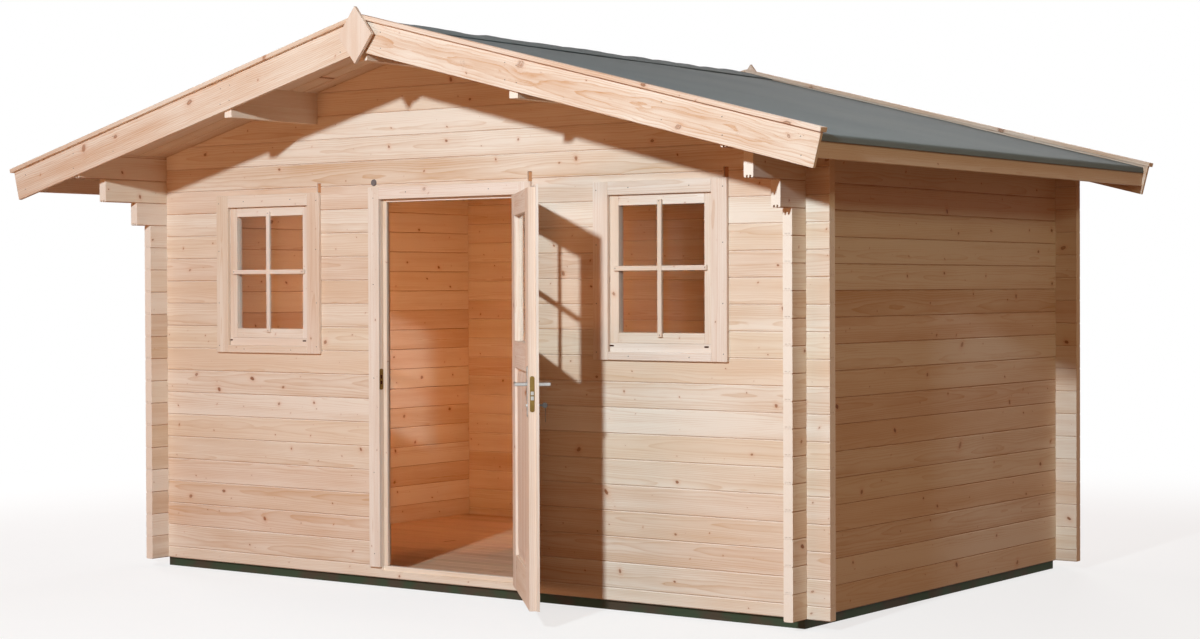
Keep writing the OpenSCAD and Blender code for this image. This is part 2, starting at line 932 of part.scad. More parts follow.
module door_lever() {
    y0 = leaf_y0 - lever_out;
    y1 = leaf_y1 + lever_out;
    grip_r = lever_r - 1;
    tip = 4;
    color(steel)
        turned_open() {
            across_leaf(spindle_x, spindle_z, spindle_r, y0, y1);
            across_leaf(spindle_x, spindle_z, lever_r, y0 - lever_r, leaf_y0 - plate_t - 1);
            across_leaf(spindle_x, spindle_z, lever_r, leaf_y1 + plate_t + 1, y1 + lever_r);
            for (y = [y0, y1])
                translate([spindle_x, y, spindle_z])
                    rotate([0, 90, 0]) {
                        cylinder(h = lever_len - tip, r = grip_r);
                        translate([0, 0, lever_len - tip])
                            cylinder(h = tip, r1 = grip_r, r2 = grip_r - tip / 2);
                    }
        }
}

base_beams();
floor_joists();
floor_boards();
front_sill_log();
front_wall_left_logs();
front_wall_right_logs();
front_lintel_log();
front_gable_logs();
back_wall_logs();
back_gable_logs();
left_wall_logs();
right_wall_logs();
ridge_purlin();
side_purlins();
roof_boards_left();
roof_boards_right();
roof_felt_left();
roof_felt_right();
eave_fascia_left();
eave_fascia_right();
front_barge_boards();
rear_barge_boards();
front_cover_strips();
rear_cover_strips();
front_finial();
rear_finial();
door_trim();
door_frame();
door_stops();
window_left_frame();
window_right_frame();
window_left_sash();
window_right_sash();
window_left_glass();
window_right_glass();
door_hinge_posts();
door_stiles();
door_rails();
door_panel();
door_glass();
door_hinge_leaves();
door_lock();
door_lever();
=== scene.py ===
import json
import math
import random

import bmesh
import bpy
from mathutils import Matrix, Vector, noise


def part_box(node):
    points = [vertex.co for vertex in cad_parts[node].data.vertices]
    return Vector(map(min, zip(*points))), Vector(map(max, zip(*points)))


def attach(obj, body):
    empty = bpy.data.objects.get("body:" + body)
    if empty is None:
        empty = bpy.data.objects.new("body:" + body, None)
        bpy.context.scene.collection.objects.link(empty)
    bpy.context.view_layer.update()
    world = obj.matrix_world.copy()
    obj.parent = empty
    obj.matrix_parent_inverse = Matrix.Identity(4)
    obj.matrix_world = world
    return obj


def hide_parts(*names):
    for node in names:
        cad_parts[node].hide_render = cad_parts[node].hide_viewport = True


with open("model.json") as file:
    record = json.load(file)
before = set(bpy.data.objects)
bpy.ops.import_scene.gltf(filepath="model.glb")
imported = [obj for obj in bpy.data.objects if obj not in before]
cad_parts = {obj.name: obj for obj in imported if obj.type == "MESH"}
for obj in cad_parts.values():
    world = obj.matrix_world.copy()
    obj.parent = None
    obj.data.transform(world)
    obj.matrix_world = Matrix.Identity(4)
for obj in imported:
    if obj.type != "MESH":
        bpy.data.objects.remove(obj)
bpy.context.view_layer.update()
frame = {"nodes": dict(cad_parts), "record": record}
nodes = frame["nodes"]
print("frame loaded:", len(nodes), "nodes")

pitch = math.radians(14.4)          # slope of the roof
course = 0.114                      # height of a log
baseTop = 0.045                     # top of the base beams
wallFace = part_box("front_lintel_log")[0].y      # front of the front wall
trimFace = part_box("door_trim")[0].y             # front of the trims on it

# the leaf stands open by its whole way from closed
hinge = next(joint for joint in frame["record"]["behaviour"]["joints"] if joint["name"] == "door_hinge")
leafTurn = math.radians(-hinge["range_deg"][0])
leafAxis = Vector(hinge["pos_m"])
leafPlace = (Matrix.Translation(leafAxis) @ Matrix.Rotation(leafTurn, 4, "Z")
             @ Matrix.Translation(-leafAxis))   # closed leaf to open leaf


# one wrapped socket, so that shader maths reads as plain expressions
class Val:
    def __init__(self, tree, socket=None):
        self.tree = tree
        self.socket = socket

    # any node: its type, its settings, the values or links of its sockets, the output or outputs wanted
    def make(self, kind, settings=None, values=None, out=0):
        node = self.tree.nodes.new(kind)
        for key, value in (settings or {}).items():
            setattr(node, key, value)
        for key, value in (values or {}).items():
            if isinstance(value, Val):
                self.tree.links.new(value.socket, node.inputs[key])
            else:
                node.inputs[key].default_value = value
        if isinstance(out, tuple):
            return [Val(self.tree, node.outputs[key]) for key in out]
        return Val(self.tree, node.outputs[out])

    def math(self, operation, *terms):
        return self.make("ShaderNodeMath", {"operation": operation}, dict(enumerate(terms)))

    def __add__(self, other):
        return self.math("ADD", self, other)

    def __radd__(self, other):
        return self.math("ADD", other, self)

    def __sub__(self, other):
        return self.math("SUBTRACT", self, other)

    def __rsub__(self, other):
        return self.math("SUBTRACT", other, self)

    def __mul__(self, other):
        return self.math("MULTIPLY", self, other)

    def __rmul__(self, other):
        return self.math("MULTIPLY", other, self)

    def __truediv__(self, other):
        return self.math("DIVIDE", self, other)

    def __rtruediv__(self, other):
        return self.math("DIVIDE", other, self)

    def __pow__(self, other):
        return self.math("POWER", self, other)

    def __rpow__(self, other):
        return self.math("POWER", other, self)

    def __lt__(self, other):
        return self.math("LESS_THAN", self, other)

    def __gt__(self, other):        # also what a number < value calls
        return self.math("GREATER_THAN", self, other)

    def floor(self):
        return self.math("FLOOR", self)

    def fract(self):
        return self.math("FRACT", self)

    def root(self):
        return self.math("SQRT", self)

    def size(self):
        return self.math("ABSOLUTE", self)

    def clamp(self):
        return self.make("ShaderNodeClamp", None, {0: self})

    def ramp(self, low, high):      # 0 below low, 1 above high, smooth between
        return self.make("ShaderNodeMapRange", {"interpolation_type": "SMOOTHSTEP"},
                         {0: self, 1: low, 2: high, 3: 0.0, 4: 1.0})

    def blend(self, first, second):     # colours by this factor
        return self.make("ShaderNodeMix", {"data_type": "RGBA"}, {0: self, 6: first, 7: second}, 2)

    def split(self):
        return self.make("ShaderNodeSeparateXYZ", None, {0: self}, (0, 1, 2))

    def vector(self, x, y, z):
        return self.make("ShaderNodeCombineXYZ", None, {0: x, 1: y, 2: z})

    def noise(self, point, seed, scale=1.0, detail=2.0, rough=0.5):
        moved = self.make("ShaderNodeVectorMath", {"operation": "ADD"}, {0: point, 1: seed})
        return self.make("ShaderNodeTexNoise", {"noise_dimensions": "3D"},
                         {"Vector": moved, "Scale": scale, "Detail": detail, "Roughness": rough})

    def dice(self, point):              # three chance numbers for a place
        chance = self.make("ShaderNodeTexWhiteNoise", {"noise_dimensions": "3D"}, {"Vector": point}, 1)
        return chance.split()

    def bump(self, strength, distance):
        return self.make("ShaderNodeBump", None,
                         {"Strength": strength, "Distance": distance, "Height": self})


def newMaterial(name):
    mat = bpy.data.materials.new(name)
    mat.use_nodes = True
    v = Val(mat.node_tree)
    place = v.make("ShaderNodeTexCoord", None, None, "Object")
    return mat, mat.node_tree.nodes["Principled BSDF"], v, place


def feed(shader, links, constants=None):
    for key, value in links.items():
        value.tree.links.new(value.socket, shader.inputs[key])
    for key, value in (constants or {}).items():
        shader.inputs[key].default_value = value


def rgb(r, g, b):       # screen colour 0-255 to the shader's linear one
    def lin(c):
        c = c / 255
        return c / 12.92 if c <= 0.04045 else ((c + 0.055) / 1.055) ** 2.4
    return (lin(r), lin(g), lin(b), 1.0)


# spruce: along the board is x, its width z, its thickness y once the Mapping has turned it
spruceLook = {
    "turn": (0, 0, 0),      # radians, from the object to the board
    "own": True,            # the board's middle and number come from its own attributes
    "row": course,          # height of a course, where the number comes from the place
    "shift": 0.0,           # from the object's origin to the foot of a course
    "middle": 0.0,          # middle of the thickness, from the object's origin
    "width": 0.10,          # usual width, for the knots' places
    "pale": rgb(236, 223, 208),
    "deep": rgb(206, 169, 135),
    "yellow": rgb(224, 198, 160),       # some boards lean to this
    "pink": rgb(222, 178, 152),         # and some to this
    "flame": rgb(243, 230, 214),        # pale grain beside a knot
    "halo": rgb(204, 140, 96),
    "knot": rgb(134, 78, 46),
    "rim": rgb(84, 46, 28),
    "end": rgb(248, 237, 224),          # end grain, and its rings
    "endRing": rgb(204, 162, 126),
    # painted light at the log joints: shade on the lower edge of each log, highlight on its upper edge
    "seam": 0.0,            # share of painted shade on the lower edge of a log, which faces down
    "seamShadeColour": rgb(168, 104, 56),
    "bevel": 0.6,           # share of painted highlight on the upper edge of a log, which faces up
    "bevelHighlightColour": rgb(250, 240, 228),
    "seamWide": 0.0045,
    "tone": 0.16,           # how much boards differ
    "figure": 0.5,          # strength of the growth rings
    "ring": 0.0056,         # width of a ring
    "sway": 1.0,            # how much the rings wander
    "knots": 0.45,          # chance of a knot in a span
    "span": 0.23,
    "knotLeast": 0.0024,    # radius of the smallest knot, and what the largest adds
    "knotSize": 0.0085,
    "pins": 0.3,            # chance of a small pin knot
    "pinSpan": 0.43,        # part of the knots' span
    "pinLeast": 0.0011,
    "pinSize": 0.0022,
    "seed": 0.0,
    "rough": 0.56,
    "gloss": 0.07,          # raw wood hardly shines
    "relief": (0.16, 0.0012),
}


def spruce(name, **changes):
    look = dict(spruceLook, **changes)
    mat, shader, v, place = newMaterial(name)
    facing = v.make("ShaderNodeTexCoord", None, None, "Normal")
    if look["own"]:
        middle = v.make("ShaderNodeAttribute", {"attribute_name": "boardMid"}, None, "Vector")
        place = v.make("ShaderNodeVectorMath", {"operation": "SUBTRACT"}, {0: place, 1: middle})
        number = v.make("ShaderNodeAttribute", {"attribute_name": "board"}, None, "Fac")
    turned = v.make("ShaderNodeMapping", {"vector_type": "POINT"},
                    {"Vector": place, "Rotation": look["turn"]})
    along, deep, wide = turned.split()
    if not look["own"]:
        row = ((wide + look["shift"]) / look["row"]).floor()
        wide = wide + look["shift"] - (row + 0.5) * look["row"]
        number = row + 17.0 * (deep * 3.0 + 0.5).floor()    # walls far apart get other numbers
        deep = deep.size() - look["middle"]
    number = number + look["seed"]
    r1, r2, r3 = v.dice(v.vector(number * 1.37, 0.21, 0.4))
    r4, r5, r6 = v.dice(v.vector(number * 2.71, 5.3, 1.4))
    seed = v.vector(number * 3.13, number * 1.71, number * 2.37)
    wobble = v.noise(v.vector(along * 70.0, wide * 90.0, deep * 20.0), seed)

    # a chance of a knot in each span of the board
    def knotRow(span, chance, least, most, salt):
        cell = (along / span + r1 * 3.0 + salt).floor()
        k1, k2, k3 = v.dice(v.vector(cell, number, salt))
        k4, k5, k6 = v.dice(v.vector(cell + 0.5, number + 7.7, salt))
        there = k4 < chance
        da = along - (cell - r1 * 3.0 - salt + 0.15 + k1 * 0.7) * span
        db = wide - (k2 - 0.5) * (0.8 * look["width"])
        radius = least + k3 * k3 * k3 * most
        lean = (k5 - 0.5) * 1.1
        da2, db2 = da + db * lean, db * (0.7 + k6 * 0.75)
        far = (da2 * da2 + db2 * db2).root() * (0.6 + wobble * 0.8) / radius
        core = (1.0 - far.ramp(0.7, 1.2)) * there * (0.5 + k5 * 0.5)
        rim = (far.ramp(0.65, 0.95) - far.ramp(0.95, 1.4)) * there * (k6 * 0.9 + 0.1)
        fall = 1.0 + far * far * 0.16
        return core, rim, there / (fall * fall), db, da

    core, rim, near, db, da = knotRow(look["span"], look["knots"], look["knotLeast"], look["knotSize"], 0.0)
    pin, pinRim, pinNear, _, _ = knotRow(look["span"] * look["pinSpan"], look["pins"],
                                         look["pinLeast"], look["pinSize"], 3.0)

    # growth rings from a heart beside the board, bent round the knots
    bent = wide - db * near * 0.8
    drift = (v.noise(v.vector(along * 1.3, 0.0, 0.0), seed) - 0.5) * look["sway"]
    waver = v.noise(v.vector(along * 5.0, bent * 26.0, deep * 26.0), seed) - 0.5
    hb = bent - (r2 - 0.5) * (1.5 * look["width"]) + drift * 0.018
    hd = deep + 0.012 + r3 * 0.055 + along * (r4 - 0.5) * 0.026 + drift * 0.024
    rings = ((hb * hb + hd * hd).root() / look["ring"] + waver * look["sway"] + r4 * 9.0).fract()
    late = rings * rings * rings * (1.0 - rings.ramp(0.93, 1.0))
    fine = v.noise(v.vector(along * 6.0, bent * 260.0, deep * 260.0), seed, 1.0, 3.0, 0.65)
    broad = v.noise(v.vector(along * 0.9, bent * 19.0, deep * 19.0), seed)
    patch = v.noise(v.vector(along * 2.1, wide * 4.0, deep * 4.0), seed, 1.0, 1.0)

    # colour from the wood to the knots, then the painted shade and highlight on the log's edges, and the
    # end grain
    depth = ((fine - 0.5) * 0.7 + (broad - 0.5) * 1.1 + (patch - 0.5) * 0.6 + late * look["figure"]
             + (r1 - 0.5) * look["tone"] * 2.6 + 0.2).clamp()
    colour = depth.blend(look["pale"], look["deep"])
    colour = ((r5 - 0.4) * 0.55).clamp().blend(colour, look["yellow"])
    colour = ((r6 - 0.55) * 0.4).clamp().blend(colour, look["pink"])
    flame = near * (1.0 - near) * (da.size() * 9.0).clamp() * 1.6
    colour = flame.clamp().blend(colour, look["flame"])
    colour = (near * 0.5 + pinNear * 0.3).clamp().blend(colour, look["halo"])
    colour = (core * 0.85 + pin * 0.7).clamp().blend(colour, look["knot"])
    colour = (rim * 0.5 + pinRim * 0.3).clamp().blend(colour, look["rim"])
    # painted shade under the lower edge of each log, painted highlight on its upper edge
    if look["seam"]:
        half = look["row"] / 2
        below = (wide * -1.0).ramp(half - look["seamWide"], half - 0.0005)
        above = wide.ramp(half - look["seamWide"], half - 0.0015)
        colour = (below * look["seam"]).blend(colour, look["seamShadeColour"])
        colour = (above * look["bevel"]).blend(colour, look["bevelHighlightColour"])
    turnedFace = v.make("ShaderNodeMapping", {"vector_type": "NORMAL"},
                        {"Vector": facing, "Rotation": look["turn"]})
    endOn = turnedFace.split()[0].size().ramp(0.7, 0.9)
    endGrain = (late * 0.5 + (fine - 0.5) * 0.5).clamp().blend(look["end"], look["endRing"])
    colour = (endOn * 0.85).blend(colour, endGrain)
    rough = (look["rough"] + (fine - 0.5) * 0.16 + core * -0.12 + endOn * 0.12).clamp()
    height = fine * 0.5 + late * 0.6 + core * 0.5
    feed(shader, {"Base Color": colour, "Roughness": rough, "Normal": height.bump(*look["relief"])},
         {"Specular IOR Level": look["gloss"]})
    return mat


# turns from the object to a board
xBoard = (0, 0, 0)
yBoard = (0, 0, -math.pi / 2)
zBoard = (0, math.pi / 2, 0)
rightSlope = (0, -pitch, 0)
leftSlope = (0, pitch, 0)
leafRail = (0, 0, -leafTurn)

# the logs get painted shade and highlight at their edges
logX = spruce("frontLogSpruce", own=False, shift=course / 2 - baseTop, middle=1.2225, seam=0.42)
logY = spruce("sideLogSpruce", own=False, turn=yBoard, shift=-baseTop, middle=1.9125, seed=40.0,
              seam=0.85, bevel=0.1, tone=0.24)
purlinY = spruce("purlinSpruce", own=False, turn=yBoard, row=0.4, shift=-2.3, middle=0.85, seed=71.0,
                 width=0.14)
paleTrim = {"pale": rgb(238, 227, 216), "deep": rgb(212, 182, 157), "knots": 0.42, "tone": 0.1,
            "span": 0.34, "pins": 0.2, "figure": 0.6}
bargeLook = dict(paleTrim, pale=rgb(238, 225, 210), deep=rgb(202, 152, 110), ring=0.0085, sway=2.6,
                 knots=0.7, knotSize=0.016, span=0.3)
trimX = spruce("trimSpruceAcross", turn=xBoard, width=0.07, **paleTrim)
trimY = spruce("trimSpruceDeep", turn=yBoard, width=0.06, **paleTrim)
trimZ = spruce("trimSpruceUpright", turn=zBoard, width=0.07, **paleTrim)
trimRight = spruce("trimSpruceRightSlope", turn=rightSlope, width=0.13, **bargeLook)
trimLeft = spruce("trimSpruceLeftSlope", turn=leftSlope, width=0.13, **bargeLook)
leafAcross = spruce("leafSpruceAcross", turn=leafRail, width=0.11, **paleTrim)
deckRight = spruce("roofBoardSpruceRight", turn=rightSlope, seed=11.0, knots=0.5)
deckLeft = spruce("roofBoardSpruceLeft", turn=leftSlope, seed=23.0, knots=0.5)
plankX = spruce("floorBoardSpruce", turn=xBoard, seed=5.0, knots=0.5, pale=rgb(222, 186, 156),
                deep=rgb(182, 134, 102))
# painted shade: dark brown wood for the backs of the short slots
slotShade = spruce("slotShadeWood", turn=zBoard, pale=rgb(176, 112, 66), deep=rgb(112, 62, 32), knots=0.0,
               seed=3.0)
print("spruce made")

# base beams and joists: sawn, dark, with a green cast from the treatment
timberLook = {"dark": rgb(40, 30, 20), "worn": rgb(80, 66, 46), "green": rgb(38, 60, 36),
              "relief": (0.4, 0.002), "rough": 0.72}


def treatedTimber():
    mat, shader, v, place = newMaterial("treatedTimber")
    x, y, z = place.split()
    grain = v.noise(v.vector(x * 9.0, y * 9.0, z * 120.0), (0, 0, 0), 1.0, 3.0)
    patch = v.noise(place, (4, 0, 0), 3.5, 3.0)
    green = v.noise(place, (8, 0, 0), 5.0, 3.0).ramp(0.40, 0.58)
    colour = (grain * 0.6 + patch * 0.5 - 0.1).clamp().blend(timberLook["dark"], timberLook["worn"])
    colour = (green * 0.8).blend(colour, timberLook["green"])
    feed(shader, {"Base Color": colour, "Normal": grain.bump(*timberLook["relief"]),
                  "Roughness": timberLook["rough"] + patch * 0.2})
    return mat


# felt: slate grit with broad paler patches
feltLook = {"dark": rgb(94, 109, 114), "pale": rgb(142, 157, 161), "grit": 900.0, "speck": 420.0,
            "patch": 1.6, "relief": (0.55, 0.0012), "rough": 0.8, "gloss": 0.3}


def roofFelt():
    mat, shader, v, place = newMaterial("roofFelt")
    grit = v.noise(place, (0, 0, 0), feltLook["grit"], 1.0)
    patch = v.noise(place, (2, 0, 0), feltLook["patch"], 3.0)
    speck = v.make("ShaderNodeTexVoronoi", {"feature": "F1"}, {"Vector": place, "Scale": feltLook["speck"]})
    mottle = (patch * 0.5 + (grit - 0.5) * 0.9 + 0.2).clamp()
    feed(shader, {"Base Color": mottle.blend(feltLook["dark"], feltLook["pale"]),
                  "Normal": (grit + speck * 0.5).bump(*feltLook["relief"]),
                  "Roughness": feltLook["rough"] + grit * 0.15},
         {"Specular IOR Level": feltLook["gloss"]})
    return mat


# panes: nearly clear head-on, a mirror at a flat angle
glassLook = {"tint": rgb(226, 234, 234), "least": 0.012, "most": 0.95, "rough": 0.01, "smear": 0.04}


def clearGlass():
    mat, shader, v, place = newMaterial("clearGlass")
    tilt = v.make("ShaderNodeLayerWeight", None, {"Blend": 0.5}, "Facing")
    smear = v.noise(place, (0, 0, 0), 4.0)
    feed(shader, {"Alpha": (glassLook["least"] + tilt ** 5.0 * glassLook["most"]).clamp(),
                  "Roughness": glassLook["rough"] + smear * glassLook["smear"]},
         {"Base Color": glassLook["tint"], "Metallic": 1.0})
    return mat


def metal(name, pale, dark, roughness):
    mat, shader, v, place = newMaterial(name)
    x, y, z = place.split()
    brush = v.noise(v.vector(x * 1500.0, y * 1500.0, z * 40.0), (0, 0, 0))
    cloud = v.noise(place, (3, 0, 0), 60.0)
    feed(shader, {"Base Color": (cloud * 0.7 + brush * 0.3).clamp().blend(dark, pale),
                  "Roughness": roughness + (brush - 0.5) * 0.2, "Normal": brush.bump(0.06, 0.0003)},
         {"Metallic": 1.0})
    return mat


# painted shade: dark plates for the shaded backs of small holes and slots
holeShadeLook = {"dark": rgb(44, 18, 8), "dusty": rgb(74, 34, 18), "rough": 0.75, "gloss": 0.1}


def paintedHoleShade():
    mat, shader, v, place = newMaterial("paintedHoleShade")
    # mottled between two dark browns, all of it painted shade
    dust = v.noise(place, (0, 0, 0), 300.0)
    feed(shader, {"Base Color": dust.blend(holeShadeLook["dark"], holeShadeLook["dusty"]),
                  "Roughness": holeShadeLook["rough"] + dust * 0.2}, {"Specular IOR Level": holeShadeLook["gloss"]})
    return mat


# vent cap
rubberLook = {"dark": rgb(84, 76, 74), "dusty": rgb(128, 118, 116), "rough": 0.5, "relief": (0.2, 0.0004)}


def ventRubber():
    mat, shader, v, place = newMaterial("ventRubber")
    dust = v.noise(place, (0, 0, 0), 160.0, 3.0)
    feed(shader, {"Base Color": dust.blend(rubberLook["dark"], rubberLook["dusty"]),
                  "Roughness": rubberLook["rough"] + dust * 0.2,
                  "Normal": dust.bump(*rubberLook["relief"])})
    return mat


timber = treatedTimber()
felt = roofFelt()
glass = clearGlass()
zinc = metal("zincSteel", rgb(206, 206, 204), rgb(150, 150, 150), 0.36)
satin = metal("satinSteel", rgb(214, 213, 210), rgb(168, 167, 164), 0.3)
brass = metal("brassPlate", rgb(160, 130, 74), rgb(96, 72, 34), 0.42)
nailSteel = metal("nailSteel", rgb(128, 122, 116), rgb(84, 78, 72), 0.45)
keySteel = metal("keySteel", rgb(120, 116, 112), rgb(66, 62, 60), 0.4)
holeShade = paintedHoleShade()
rubber = ventRubber()

# nodes that show as they are, and three that boards replace below
cadFinish = {
    "base_beams": timber, "floor_joists": timber,
    "front_sill_log": logX, "front_wall_left_logs": logX, "front_wall_right_logs": logX,
    "front_lintel_log": logX, "front_gable_logs": logX, "back_wall_logs": logX,
    "back_gable_logs": logX, "left_wall_logs": logY, "right_wall_logs": logY,
    "ridge_purlin": purlinY, "side_purlins": purlinY,
    "window_left_glass": glass, "window_right_glass": glass, "door_glass": glass,
    "door_hinge_posts": zinc, "door_hinge_leaves": zinc, "door_lever": satin,
    "floor_boards": plankX, "roof_boards_left": deckLeft, "roof_boards_right": deckRight,
}
for node, mat in cadFinish.items():
    nodes[node].data.materials.clear()
    nodes[node].data.materials.append(mat)
print("finishes set")


# making pieces
def ease(bm, edges, offset, segments=2):
    return bmesh.ops.bevel(bm, geom=list(edges), offset=offset, offset_type="OFFSET", segments=segments,
                           profile=0.5, affect="EDGES", material=-1, clamp_overlap=True)


def addBox(bm, a, b):       # two corners, in any order
    lo, hi = Vector(map(min, a, b)), Vector(map(max, a, b))
    made = bmesh.ops.create_cube(bm, size=1.0)["verts"]
    bmesh.ops.scale(bm, vec=hi - lo, verts=made)
    bmesh.ops.translate(bm, vec=(lo + hi) / 2, verts=made)
    return made


def edgesOf(verts):
    return {edge for vert in verts for edge in vert.link_edges}


def addBlock(bm, a, b, edge, segments=2):
    ease(bm, edgesOf(addBox(bm, a, b)), edge, segments)


def boardRow(bm, a, b, row):        # boards side by side along y
    step = (b[1] - a[1]) / row["boards"]
    for i in range(row["boards"]):
        y = a[1] + i * step + row["gap"] / 2
        addBlock(bm, (a[0], y, a[2]), (b[0], y + step - row["gap"], b[2]), row["edge"], 1)


def roundedPlate(bm, a, b, axis, corner, edge=0.0006):      # corners rounded about an axis, eased rims
    sides = [e for e in edgesOf(addBox(bm, a, b))
             if abs((e.verts[0].co - e.verts[1].co).normalized()[axis]) > 0.9]
    rounded = ease(bm, sides, corner, 8)["faces"]
    rims = edgesOf({vert for face in rounded for vert in face.verts})
    ease(bm, [e for e in rims if e.calc_face_angle(0) > math.radians(60)], edge)


# a turned piece standing on centre along a direction, with an eased rim and a sunk middle
def addRound(bm, centre, direction, shape):
    axis = Vector(direction)
    stand = axis.to_track_quat("Z", "Y").to_matrix().to_4x4()
    place = Matrix.Translation(Vector(centre) + axis * shape["height"] / 2) @ stand
    made = bmesh.ops.create_cone(bm, cap_ends=True, segments=shape["segments"], radius1=shape["radius"],
                                 radius2=shape["radius"] * shape["taper"], depth=shape["height"],
                                 matrix=place)["verts"]

    def topOf(verts):
        faces = {face for vert in verts for face in vert.link_faces}
        return max(faces, key=lambda face: face.calc_center_median().dot(axis))

    top = topOf(made)
    if shape["edge"]:
        top = topOf(ease(bm, top.edges, shape["edge"])["verts"])
    bmesh.ops.inset_individual(bm, faces=[top], thickness=shape["inset"], depth=0)
    bmesh.ops.translate(bm, vec=axis * -shape["sink"], verts=top.verts[:])


def screwHead(bm, centre, direction, radius):
    addRound(bm, centre, direction,
             {"radius": radius, "height": radius * 0.35, "taper": 0.8, "segments": 14, "edge": 0.0,
              "inset": radius * 0.25, "sink": radius * 0.2})


def faceOut(bm):
    bmesh.ops.recalc_face_normals(bm, faces=bm.faces)


def openLeaf(bm):       # pieces of the leaf are made as if it were closed
    bmesh.ops.transform(bm, matrix=leafPlace, verts=bm.verts)


def islands(bm):
    seen = set()
    for start in bm.verts:
        if start in seen:
            continue
        group, todo = [], [start]
        seen.add(start)
        while todo:
            vert = todo.pop()
            group.append(vert)
            for edge in vert.link_edges:
                other = edge.other_vert(vert)
                if other not in seen:
                    seen.add(other)
                    todo.append(other)
        yield group


boardDice = random.Random(7)


def markBoards(bm, choose):     # number and middle of each board, and its finish
    number = bm.verts.layers.float.new("board")
    middle = bm.verts.layers.float_vector.new("boardMid")
    for group in islands(bm):
        lo = Vector(min(vert.co[i] for vert in group) for i in range(3))
        hi = Vector(max(vert.co[i] for vert in group) for i in range(3))
        mine = boardDice.uniform(1, 90)
        index = choose(hi - lo, (lo + hi) / 2)
        for vert in group:
            vert[number] = mine
            vert[middle] = (lo + hi) / 2
            for face in vert.link_faces:
                face.material_index = index


# which finish a board takes, from its size and its middle
def oneFinish(size, middle):
    return 0


def byLongest(size, middle):        # across 0, upright 1, deep 2
    longest = max(range(3), key=lambda i: size[i])
    return (0, 2, 1)[longest]


def bySlope(size, middle):
    return 0 if middle.x > 0 else 1


def byLeaf(size, middle):
    return 1 if size.z > size.xy.length else 0


def piece(name, bm, mats, body="cabin", replaced=()):
    mesh = bpy.data.meshes.new(name)
    bm.normal_update()
    bm.to_mesh(mesh)
    bm.free()
    for mat in mats:
        mesh.materials.append(mat)
    obj = bpy.data.objects.new(name, mesh)
    bpy.context.collection.objects.link(obj)
    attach(obj, body)
    if replaced:
        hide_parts(*replaced)


# planed boards with eased edges, in place of the sharp ones
trims = [trimX, trimZ, trimY]
slopes = [trimRight, trimLeft]
leafBoards = [leafAcross, trimZ]
planed = {
    "door_trim": 0.0025, "door_frame": 0.002, "door_stops": 0.002,
    "window_left_frame": 0.0025, "window_right_frame": 0.0025,
    "window_left_sash": 0.002, "window_right_sash": 0.002,
    "eave_fascia_left": 0.002, "eave_fascia_right": 0.002,
    "front_finial": 0.002, "rear_finial": 0.002,
}
planedSlopes = {"front_barge_boards": 0.002, "rear_barge_boards": 0.002,
                "front_cover_strips": 0.002, "rear_cover_strips": 0.002}
planedLeaf = {"door_stiles": 0.0018, "door_rails": 0.0018}


def softened(node, choose, mats, edge, body="cabin"):
    bm = bmesh.new()
    bm.from_mesh(nodes[node].data)
    bmesh.ops.remove_doubles(bm, verts=bm.verts, dist=0.00002)
    bmesh.ops.dissolve_limit(bm, angle_limit=math.radians(1), verts=bm.verts, edges=bm.edges)
    ease(bm, [e for e in bm.edges
              if len(e.link_faces) == 2 and e.calc_face_angle(0) > math.radians(40)], edge)
    markBoards(bm, choose)
    words = node.split("_")
    name = words[0] + "".join(word.capitalize() for word in words[1:]) + "Planed"
    piece(name, bm, mats, body, [node])


for node, edge in planed.items():
    softened(node, byLongest, trims, edge)
for node, edge in planedSlopes.items():
    softened(node, bySlope, slopes, edge)
for node, edge in planedLeaf.items():
    softened(node, byLeaf, leafBoards, edge, "door")
print("planed boards made")

# roof boards with V joints below
deck = {"boards": 33, "gap": 0.0012, "edge": 0.004, "thick": 0.019, "fromRidge": 0.0055,
        "fromEave": 0.0002}


def roofBoards(hand, side, mat):
    node = "roof_boards_" + hand.lower()
    lo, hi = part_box(node)
    length = (hi.x - lo.x) / math.cos(pitch)
    bm = bmesh.new()
    boardRow(bm, (side * deck["fromRidge"], lo.y, -deck["thick"]),
             (side * (length - deck["fromEave"]), hi.y, 0), deck)
    ridge = Matrix.Translation((0, 0, hi.z)) @ Matrix.Rotation(side * pitch, 4, "Y")
    bmesh.ops.transform(bm, matrix=ridge, verts=bm.verts)
    markBoards(bm, oneFinish)
    piece("roofBoards" + hand, bm, [mat], "cabin", [node])


roofBoards("Right", 1, deckRight)
roofBoards("Left", -1, deckLeft)

# floor planks
planks = {"boards": 25, "gap": 0.0014, "edge": 0.0022}


def floorPlanks():
    bm = bmesh.new()
    boardRow(bm, *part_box("floor_boards"), planks)
    markBoards(bm, oneFinish)
    piece("floorPlanks", bm, [plankX], "cabin", ["floor_boards"])


floorPlanks()
print("boards laid")


# felt
def waves(x, y, side, layers):  # soft bumps: strength, closeness along x and y, seed
    return sum(strength * noise.noise(Vector((x * closeX, y * closeY, side * seed)))
               for strength, closeX, closeY, seed in layers)


def thicken(bm, thick):         # a laid sheet gets its thickness below
    faceOut(bm)
    if sum(face.normal.z for face in bm.faces) < 0:
        bmesh.ops.reverse_faces(bm, faces=bm.faces)
    bmesh.ops.solidify(bm, geom=bm.faces[:], thickness=-thick)
    for face in bm.faces:
        face.smooth = True


# a soft sheet over each slope, lapped once, folded down at the eaves
feltSheet = {"thick": 0.004, "along": 96, "across": 60,
             "flatShare": 0.86,                         # share of the mesh on the slope
             "sunk": 0.0042, "short": 0.0002, "endGap": 0.0005,
             "fold": 0.026, "round": 0.007, "lap": 0.98, "lapRise": 0.0022, "lapSoft": 0.012,
             "waves": ((1.0, 1.9, 2.6, 4.0), (0.5, 7.0, 6.0, 9.0)),
             "ripple": 0.0022, "mean": 0.55, "calmRidge": 0.05, "calmEave": 0.15}


